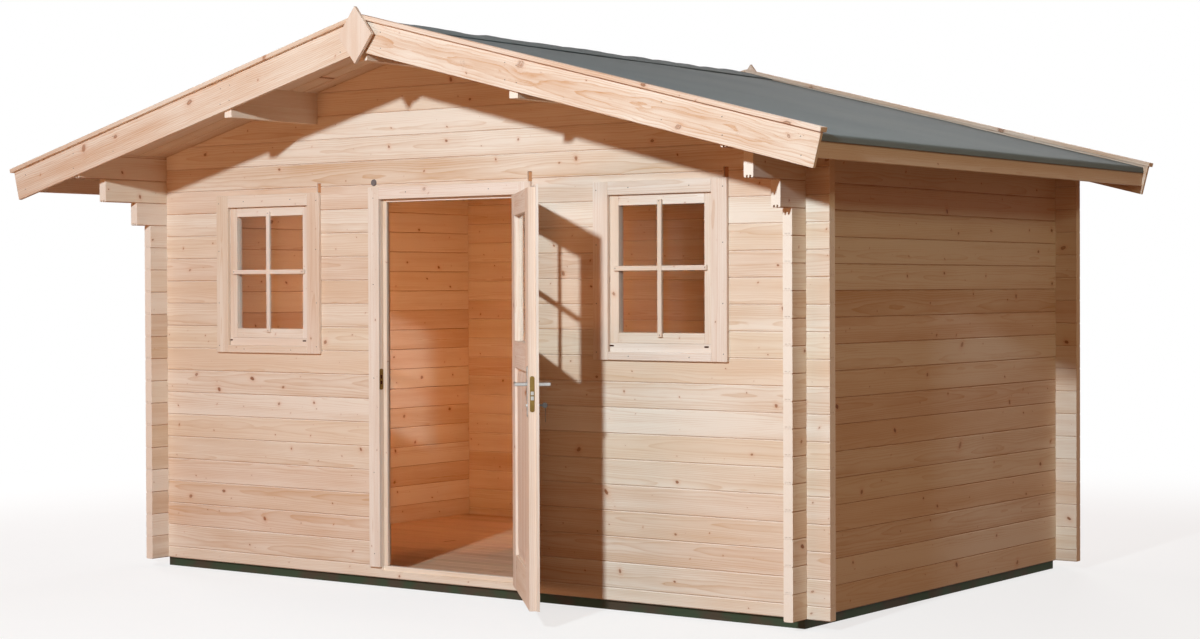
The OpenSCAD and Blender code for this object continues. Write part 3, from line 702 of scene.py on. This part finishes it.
def feltOver(hand, side):
    node = "roof_felt_" + hand.lower()
    lo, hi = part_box(node)
    f = feltSheet
    bm = bmesh.new()
    bmesh.ops.create_grid(bm, x_segments=f["across"], y_segments=f["along"], size=0.5)
    reach = max(abs(lo.x), abs(hi.x)) - f["thick"] - f["short"]
    slopeLen = reach / math.cos(pitch) - f["round"]
    start = math.pi / 2 - pitch         # angle that the fold turns through
    bend = f["round"] * start
    foldLen = bend + f["fold"] - f["round"]
    for vert in bm.verts:
        across, along = vert.co.x + 0.5, vert.co.y + 0.5
        if across < f["flatShare"]:
            run = across / f["flatShare"] * slopeLen
        else:
            run = slopeLen + (across - f["flatShare"]) / (1 - f["flatShare"]) * foldLen
        y = lo.y + f["endGap"] + along * (hi.y - lo.y - 2 * f["endGap"])
        flat = min(run, slopeLen)
        x, z = flat * math.cos(pitch), hi.z - f["sunk"] - flat * math.sin(pitch)
        if run > slopeLen:
            now = start - min((run - slopeLen) / f["round"], start)
            x += f["round"] * (math.cos(now) - math.cos(start))
            z += f["round"] * (math.sin(now) - math.sin(start))
            z -= max(0.0, run - slopeLen - bend)
        ripple = waves(x, y, side, f["waves"])
        free = min(1.0, flat / f["calmRidge"] + 0.35) * min(1.0, (slopeLen - flat) / f["calmEave"] + 0.1)
        z += f["ripple"] * (ripple + f["mean"]) * free
        z += f["lapRise"] * min(1.0, max(0.0, (slopeLen - f["lap"] - flat) / f["lapSoft"]))
        vert.co = Vector((side * x, y, z))
    thicken(bm, f["thick"])
    piece("roofFelt" + hand, bm, [felt], "cabin", [node])


# loose strip of felt over the ridge
cap = {"half": 0.17, "thick": 0.0035, "rows": 110, "columns": 22, "endGap": 0.002, "lift": 0.0052,
       "waves": ((1.0, 3.1, 2.0, 2.0), (0.6, 9.0, 5.0, 6.0)), "puff": 0.012,
       "crown": 0.0048, "crownWide": 0.03}              # crown: how far the ridge is rounded off


def ridgeCap():
    lo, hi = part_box("roof_felt_right")
    bm = bmesh.new()
    bmesh.ops.create_grid(bm, x_segments=cap["columns"], y_segments=cap["rows"], size=0.5)
    for vert in bm.verts:
        run, along = vert.co.x * 2 * cap["half"], vert.co.y + 0.5
        y = lo.y + cap["endGap"] + along * (hi.y - lo.y - 2 * cap["endGap"])
        off = abs(run)
        wave = waves(y, run, 1, cap["waves"])
        rise = cap["puff"] * (0.75 + 0.7 * wave) * max(0.0, 1 - off / cap["half"]) ** 0.7
        crown = cap["crown"] * math.exp(-(off / cap["crownWide"]) ** 2)
        vert.co = Vector((run, y, hi.z + cap["lift"] - off * math.tan(pitch) + max(rise, 0.0) - crown))
    thicken(bm, cap["thick"])
    piece("ridgeFeltStrip", bm, [felt])


feltOver("Right", 1)
feltOver("Left", -1)
ridgeCap()
print("felt laid")

# window bars, their ends lapped on the sash; half, low and high are the glass that shows
bars = {"half": 0.226, "low": 1.231, "high": 1.795, "cross": 1.5135, "wide": 0.022, "front": -1.257,
        "back": -1.2433, "lap": 0.018, "gap": 0.0003, "edge": 0.003}


def middleOf(node):
    lo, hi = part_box(node)
    return (lo.x + hi.x) / 2


windowMiddles = {"Left": middleOf("window_left_glass"), "Right": middleOf("window_right_glass")}


def windowBars(hand, x):
    w = bars["wide"] / 2
    bm = bmesh.new()
    addBlock(bm, (x - w, bars["front"], bars["low"] - bars["lap"]),
             (x + w, bars["back"], bars["high"] + bars["lap"]), bars["edge"])
    for side in (-1, 1):
        addBlock(bm, (x + side * (w + bars["gap"]), bars["front"], bars["cross"] - w),
                 (x + side * (bars["half"] + bars["lap"]), bars["back"], bars["cross"] + w), bars["edge"])
    markBoards(bm, byLongest)
    piece("window" + hand + "Bars", bm, trims)


for hand, x in windowMiddles.items():
    windowBars(hand, x)

# leaf: cross bars and glazing beads on the outer side of the glass
leafGlass = {"x": 0.006, "half": 0.2654, "mid": -1.259, "pane": 0.0024, "cross": 1.473, "deep": 0.013,
             "wide": 0.022, "bead": 0.012, "gap": 0.0004, "barGap": 0.0003, "barEdge": 0.003,
             "beadEdge": 0.004}


def leafBars():
    g = leafGlass
    low, high = (corner.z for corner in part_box("door_glass"))
    back = g["mid"] - g["pane"]
    front = back - g["deep"]
    w = g["wide"] / 2
    inner = g["half"] - g["bead"]
    bm = bmesh.new()

    def strip(x0, z0, x1, z1, edge):
        addBlock(bm, (g["x"] + x0, front, z0), (g["x"] + x1, back, z1), edge)

    strip(-w, low + g["bead"] + g["gap"], w, high - g["bead"] - g["gap"], g["barEdge"])
    for side in (-1, 1):
        strip(side * (w + g["barGap"]), g["cross"] - w,
              side * (inner - g["gap"]), g["cross"] + w, g["barEdge"])
        strip(side * inner, low, side * g["half"], high, g["beadEdge"])
    for z in (low, high - g["bead"]):
        strip(g["gap"] - inner, z, inner - g["gap"], z + g["bead"], g["beadEdge"])
    openLeaf(bm)
    markBoards(bm, byLeaf)
    piece("leafBars", bm, leafBoards, "door")


# raised panel below the glass
leafPanel = {"thick": 0.016, "rim": 0.0175, "slope": 0.05, "raise": 0.006}


def raisedPanel():
    g, p = leafGlass, leafPanel
    low, high = (corner.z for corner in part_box("door_panel"))
    bm = bmesh.new()
    addBox(bm, (g["x"] - g["half"], g["mid"] - p["thick"] / 2, low),
           (g["x"] + g["half"], g["mid"] + p["thick"] / 2, high))
    for face in [face for face in bm.faces if abs(face.normal.y) > 0.9]:
        bmesh.ops.inset_individual(bm, faces=[face], thickness=p["rim"], depth=0)
        bmesh.ops.inset_individual(bm, faces=[face], thickness=p["slope"], depth=p["raise"])
    openLeaf(bm)
    markBoards(bm, byLeaf)
    piece("leafRaisedPanel", bm, leafBoards, "door", ["door_panel"])


leafBars()
raisedPanel()
print("bars and panel made")

# lock: a long plate with a key cylinder on each side of the leaf
plate = {"x": -0.355, "wide": 0.040, "thick": 0.003, "corner": 0.012, "outer": -1.280, "inner": -1.238,
         "screw": 0.0042, "screwIn": 0.016, "gap": 0.0001, "keyZ": 0.939}
cylinder = {"radius": 0.0085, "height": 0.004, "taper": 0.96, "segments": 24, "edge": 0.0008,
            "inset": 0.0035, "sink": 0.0008}


def lockPlates():
    low, high = (corner.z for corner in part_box("door_lock"))
    half = plate["wide"] / 2
    bm = bmesh.new()
    for face, out in ((plate["outer"], -1), (plate["inner"], 1)):
        front = face + out * plate["thick"]
        roundedPlate(bm, (plate["x"] - half, face, low), (plate["x"] + half, front, high), 1,
                     plate["corner"])
        front += out * plate["gap"]
        addRound(bm, (plate["x"], front, plate["keyZ"]), (0, out, 0), cylinder)
        for z in (low + plate["screwIn"], high - plate["screwIn"]):
            screwHead(bm, (plate["x"], front, z), (0, out, 0), plate["screw"])
    openLeaf(bm)
    faceOut(bm)
    piece("lockPlates", bm, [satin], "door", ["door_lock"])


# brass face plate in the leaf's edge, and the ends of its bolts
lockFace = {"x": -0.410, "y": -1.253, "low": 0.913, "high": 1.063, "wide": 0.020, "proud": 0.0004,
            "deep": 0.0018, "corner": 0.0096, "screw": 0.0038, "screwIn": 0.012, "screwProud": 0.0005}
bolts = {"z": ((0.963, 0.979), (0.984, 0.999)), "half": 0.0065, "proud": 0.0018, "edge": 0.0006}


def lockEdge():
    k = lockFace
    half = k["wide"] / 2
    bm = bmesh.new()
    roundedPlate(bm, (k["x"] - k["proud"], k["y"] - half, k["low"]),
                 (k["x"] + k["deep"], k["y"] + half, k["high"]), 0, k["corner"])
    for z in (k["low"] + k["screwIn"], k["high"] - k["screwIn"]):
        screwHead(bm, (k["x"] - k["screwProud"], k["y"], z), (-1, 0, 0), k["screw"])
    openLeaf(bm)
    faceOut(bm)
    piece("lockFacePlate", bm, [brass], "door")
    bm = bmesh.new()
    for low, high in bolts["z"]:
        addBlock(bm, (k["x"] - bolts["proud"], k["y"] - bolts["half"], low),
                 (k["x"] - k["screwProud"], k["y"] + bolts["half"], high), bolts["edge"])
    openLeaf(bm)
    piece("lockBolts", bm, [satin], "door")


# key in the outer cylinder, with a ring and a second key; all from the key's stop
key = {"blade": ((-0.0012, -0.012, -0.0035), (0.0012, 0, 0.0035)),
       "bow": ((-0.0012, -0.034, -0.0115), (0.0012, -0.0125, 0.0115)), "bowCorner": 0.0098,
       "ring": (0, -0.026, -0.019), "ringRadius": 0.0085, "wire": 0.0009, "wireSides": 8, "ringSteps": 20,
       "spareBow": ((-0.008, -0.0272, -0.046), (0.008, -0.0248, -0.0285)), "spareCorner": 0.007,
       "spareBlade": ((-0.0032, -0.0269, -0.071), (0.0032, -0.0251, -0.0462)), "edge": 0.0005,
       "stop": 0.0042}


def hangingKey():
    bm = bmesh.new()
    addBlock(bm, *key["blade"], key["edge"], 1)
    roundedPlate(bm, *key["bow"], 0, key["bowCorner"])
    quarter = Matrix.Rotation(math.pi / 2, 4, "X")
    ring = Matrix.Translation(key["ring"]) @ quarter
    wire = ring @ Matrix.Translation((key["ringRadius"], 0, 0)) @ quarter
    start = bmesh.ops.create_circle(bm, segments=key["wireSides"], radius=key["wire"], matrix=wire)["verts"]
    bmesh.ops.spin(bm, geom=start + list(edgesOf(start)), cent=ring.translation,
                   axis=ring.to_3x3() @ Vector((0, 0, 1)), angle=math.pi * 2, steps=key["ringSteps"],
                   use_merge=True)
    roundedPlate(bm, *key["spareBow"], 1, key["spareCorner"])
    addBlock(bm, *key["spareBlade"], key["edge"], 1)
    stop = Vector((plate["x"], plate["outer"] - plate["thick"] - key["stop"], plate["keyZ"]))
    bmesh.ops.translate(bm, vec=stop, verts=bm.verts)
    openLeaf(bm)
    faceOut(bm)
    piece("doorKey", bm, [keySteel], "door")


lockPlates()
lockEdge()
hangingKey()

# strike plate on the frame, opposite the lock, and its holes
strike = {"x": -0.417, "y": -1.248, "low": 0.946, "high": 1.046, "wide": 0.026, "gap": 0.0001,
          "proud": 0.0014, "corner": 0.0085, "edge": 0.0004, "screw": 0.0034, "screwIn": 0.01,
          "screwProud": 0.0013}
strikeHole = {"z": ((0.972, 0.988), (0.998, 1.016)), "half": 0.006, "proud": 0.0018, "corner": 0.002,
              "edge": 0.0001}


def strikePlate():
    half = strike["wide"] / 2
    bm = bmesh.new()
    roundedPlate(bm, (strike["x"] + strike["gap"], strike["y"] - half, strike["low"]),
                 (strike["x"] + strike["proud"], strike["y"] + half, strike["high"]), 0,
                 strike["corner"], strike["edge"])
    for z in (strike["low"] + strike["screwIn"], strike["high"] - strike["screwIn"]):
        screwHead(bm, (strike["x"] + strike["screwProud"], strike["y"], z), (1, 0, 0), strike["screw"])
    faceOut(bm)
    piece("strikePlate", bm, [brass])
    # the strike plate's holes are dark plates of painted shade
    bm = bmesh.new()
    for low, high in strikeHole["z"]:
        roundedPlate(bm, (strike["x"] + strike["proud"], strike["y"] - strikeHole["half"], low),
                     (strike["x"] + strikeHole["proud"], strike["y"] + strikeHole["half"], high), 0,
                     strikeHole["corner"], strikeHole["edge"])
    piece("strikeHoles", bm, [holeShade])


# vent cap over the door trim's left corner
vent = {"inX": 0.025, "upZ": 0.023, "proud": 0.0002, "radius": 0.0165, "height": 0.006, "taper": 0.9,
        "segments": 36, "edge": 0.002, "inset": 0.004, "sink": 0.0012}


def ventCap():
    lo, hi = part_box("door_trim")
    bm = bmesh.new()
    addRound(bm, (lo.x + vent["inX"], wallFace - vent["proud"], hi.z + vent["upZ"]), (0, -1, 0), vent)
    faceOut(bm)
    piece("ventCap", bm, [rubber])


# drain slots in the window sills, as dark plates of painted shade
drain = {"x": (-1.426, -0.921, 0.939, 1.440), "z": 1.173, "half": 0.0115, "halfTall": 0.0034,
         "front": -1.2458, "back": -1.2446, "corner": 0.003, "edge": 0.0001}


def sillSlots():
    bm = bmesh.new()
    for x in drain["x"]:
        roundedPlate(bm, (x - drain["half"], drain["front"], drain["z"] - drain["halfTall"]),
                     (x + drain["half"], drain["back"], drain["z"] + drain["halfTall"]), 1,
                     drain["corner"], drain["edge"])
    piece("sillSlots", bm, [holeShade])


# painted shade: dark brown blocks at the backs of the short slots over the trims' right corners
slots = {"over": ("window_left_frame", "window_right_frame", "door_trim"), "wide": 0.026, "tall": 0.0454,
         "front": -1.238, "back": -1.2315, "gap": 0.0003, "edge": 0.0008}


def slotShadeBacks():
    bm = bmesh.new()
    for node in slots["over"]:
        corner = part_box(node)[1]
        addBlock(bm, (corner.x - slots["wide"] + slots["gap"], slots["front"], corner.z + slots["gap"]),
                 (corner.x - slots["gap"], slots["back"], corner.z + slots["tall"]), slots["edge"])
    markBoards(bm, oneFinish)
    piece("slotShadeBacks", bm, [slotShade])


strikePlate()
ventCap()
sillSlots()
slotShadeBacks()

# nails in the window bars, trims and barge boards
nails = {"seed": 19, "stray": 0.0015, "radius": 0.0026, "height": 0.0007, "taper": 0.75, "segments": 10,
         "edge": 0.0, "inset": 0.0008, "sink": 0.0003,
         "barEnd": 0.010,                                   # from the glass
         "windowSide": 0.334, "windowSideZ": (1.145, 1.36, 1.62, 1.86),
         "windowAcross": 0.16, "windowAcrossZ": (1.128, 1.868),
         "doorSide": 0.457, "doorSideZ": (0.16, 0.55, 1.0, 1.45, 1.86),
         "doorAcross": 0.25, "doorAcrossZ": 1.885,
         "bargeX": (0.12, 0.82, 0.88, 1.62, 1.91, 2.27), "bargeDown": (0.035, 0.105)}


def nailHeads():
    dice = random.Random(nails["seed"])
    stray = nails["stray"]
    bm = bmesh.new()

    def nail(x, y, z, direction=(0, -1, 0)):
        centre = (x + dice.uniform(-stray, stray), y, z + dice.uniform(-stray, stray))
        addRound(bm, centre, direction, nails)

    for x in windowMiddles.values():
        for z in (bars["low"] - nails["barEnd"], bars["high"] + nails["barEnd"]):
            nail(x, bars["front"], z)
        for side in (-1, 1):
            nail(x + side * (bars["half"] + nails["barEnd"]), bars["front"], bars["cross"])
            for z in nails["windowSideZ"]:
                nail(x + side * nails["windowSide"], trimFace, z)
            for z in nails["windowAcrossZ"]:
                nail(x + side * nails["windowAcross"], trimFace, z)
    bargeFront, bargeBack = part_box("front_barge_boards"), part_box("rear_barge_boards")
    for side in (-1, 1):
        for z in nails["doorSideZ"]:
            nail(leafGlass["x"] + side * nails["doorSide"], trimFace, z)
        nail(leafGlass["x"] + side * nails["doorAcross"], trimFace, nails["doorAcrossZ"])
        for x in nails["bargeX"]:
            for down in nails["bargeDown"]:
                z = bargeFront[1].z - x * math.tan(pitch) - down / math.cos(pitch)
                nail(side * x, bargeFront[0].y, z)
                nail(side * x, bargeBack[1].y, z, (0, 1, 0))
    faceOut(bm)
    piece("nailHeads", bm, [nailSteel])


nailHeads()
print("small pieces made")

# pale floor, white further out; it throws warm light on the walls and keeps the cabin's shadow
ground = {"size": 60.0, "near": 3.6, "far": 7.5, "white": 0.74,
          "pale": (0.93, 0.92, 0.91, 1), "thrown": (0.24, 0.11, 0.04, 1)}


def seenRays(tree):
    camera, glossy, through = Val(tree).make(
        "ShaderNodeLightPath", None, None, ("Is Camera Ray", "Is Glossy Ray", "Is Transmission Ray"))
    return (camera + glossy + through).clamp()


def groundFinish():
    mat, shader, v, place = newMaterial("paleFloor")
    x, y, z = place.split()
    fade = (x * x + y * y).root().ramp(ground["near"], ground["far"])
    seen = seenRays(mat.node_tree)
    white = v.make("ShaderNodeEmission", None, {"Color": (1, 1, 1, 1), "Strength": 1.0})
    share = seen * (ground["white"] + fade * (1 - ground["white"]))
    matt = Val(mat.node_tree, shader.outputs[0])
    mix = v.make("ShaderNodeMixShader", None, {0: share, 1: matt, 2: white})
    feed(mat.node_tree.nodes["Material Output"], {"Surface": mix})
    tint = v.noise(place, (0, 0, 0), 1.5) * 0.06
    colour = (seen * (1.0 - tint)).blend(ground["thrown"], ground["pale"])
    feed(shader, {"Base Color": colour}, {"Roughness": 0.9, "Specular IOR Level": 0.1})
    return mat


def layGround():
    bm = bmesh.new()
    bmesh.ops.create_grid(bm, x_segments=1, y_segments=1, size=ground["size"] / 2)
    mesh = bpy.data.meshes.new("ground")
    bm.to_mesh(mesh)
    bm.free()
    mesh.materials.append(groundFinish())
    groundObj = bpy.data.objects.new("ground", mesh)
    bpy.context.collection.objects.link(groundObj)


# world: white where it is seen, a weak warm dome as light
dome = {"strength": 0.20, "colour": (1.0, 0.27, 0.05, 1)}


def lightDome():
    world = bpy.data.worlds.new("studio")
    bpy.context.scene.world = world
    world.use_nodes = True
    seen = seenRays(world.node_tree)
    feed(world.node_tree.nodes["Background"],
         {"Strength": seen * (1.0 - dome["strength"]) + dome["strength"],
          "Color": seen.blend(dome["colour"], (1, 1, 1, 1))})


# key from the front and a little right, warm card low in front, weak fill on the right wall,
# lamp in the room, plain lamps on the back and the left side
lamps = {
    "keyLamp": {"place": (2.78, -9.3, 4.2), "aim": (0.4, -1.2, 1.2), "size": (0.32, 0.32), "spread": 180,
                "level": 0.79, "colour": (0.90, 1.08, 1.17)},
    "lowLamp": {"place": (-1.2, -6.5, 0.5), "aim": (-0.3, -1.3, 1.9), "size": (3.0, 1.2), "spread": 180,
                "level": 0.185, "colour": (1.0, 0.47, 0.22)},
    "sideLamp": {"place": (7.8, -1.1, 4.4), "aim": (1.9, -0.1, 1.2), "size": (1.2, 1.2), "spread": 180,
                 "level": 0.125, "colour": (0.88, 0.88, 0.58)},
    "roomLamp": {"place": (0.15, -0.95, 1.9), "aim": (-1.85, 0.75, 0.8), "size": (0.5, 0.4), "spread": 84,
                 "level": 0.098, "colour": (1.0, 0.46, 0.19)},
    "backLamp": {"place": (-2.4, 9.0, 4.4), "aim": (0.0, 1.2, 1.2), "size": (3.4, 2.4), "spread": 180,
                 "level": 0.5, "colour": (0.96, 1.0, 1.02)},
    "leftLamp": {"place": (-9.0, 1.4, 3.4), "aim": (-1.9, 0.1, 1.2), "size": (2.6, 2.0), "spread": 180,
                 "level": 0.5, "colour": (0.96, 1.0, 1.02)},
}
plainPower = 9.87       # watts at one metre; at level 1 a colour shows as written


def addLamp(name, lamp):
    light = bpy.data.lights.new(name, "AREA")
    light.shape = "RECTANGLE"
    light.size, light.size_y = lamp["size"]
    beam = Vector(lamp["aim"]) - Vector(lamp["place"])
    light.energy = plainPower * beam.length_squared * lamp["level"]
    light.color = lamp["colour"]
    light.spread = math.radians(lamp["spread"])
    lampObj = bpy.data.objects.new(name, light)
    lampObj.location = lamp["place"]
    lampObj.rotation_mode = "QUATERNION"
    lampObj.rotation_quaternion = beam.to_track_quat("-Z", "Y")
    lampObj.visible_camera = False
    bpy.context.collection.objects.link(lampObj)


layGround()
lightDome()
for name, lamp in lamps.items():
    addLamp(name, lamp)

# camera at the photograph's angle; yaw, nod and roll in radians
shot = {"place": (6.688, -9.226, 1.431), "lens": 66.80, "sensor": 36, "shift": (0.0032, -0.0042),
        "yaw": -0.6312, "nod": -0.0122, "roll": -0.0037}


def addCamera():
    camera = bpy.data.cameras.new("camera")
    camera.sensor_width = shot["sensor"]
    camera.lens = shot["lens"]
    camera.shift_x, camera.shift_y = shot["shift"]
    ahead = Vector((math.sin(shot["yaw"]) * math.cos(shot["nod"]),
                    math.cos(shot["yaw"]) * math.cos(shot["nod"]), math.sin(shot["nod"])))
    right = ahead.cross(Vector((0, 0, 1))).normalized()
    up = right.cross(ahead)
    cosRoll, sinRoll = math.cos(shot["roll"]), math.sin(shot["roll"])
    right, up = right * cosRoll + up * sinRoll, up * cosRoll - right * sinRoll
    cameraObj = bpy.data.objects.new("camera", camera)
    cameraObj.matrix_world = (Matrix.Translation(shot["place"])
                              @ Matrix((right, up, -ahead)).transposed().to_4x4())
    bpy.context.collection.objects.link(cameraObj)
    return cameraObj


bpy.context.scene.camera = addCamera()
bpy.context.scene.view_settings.view_transform = "Standard"
print("light and camera set")

bpy.context.view_layer.update()
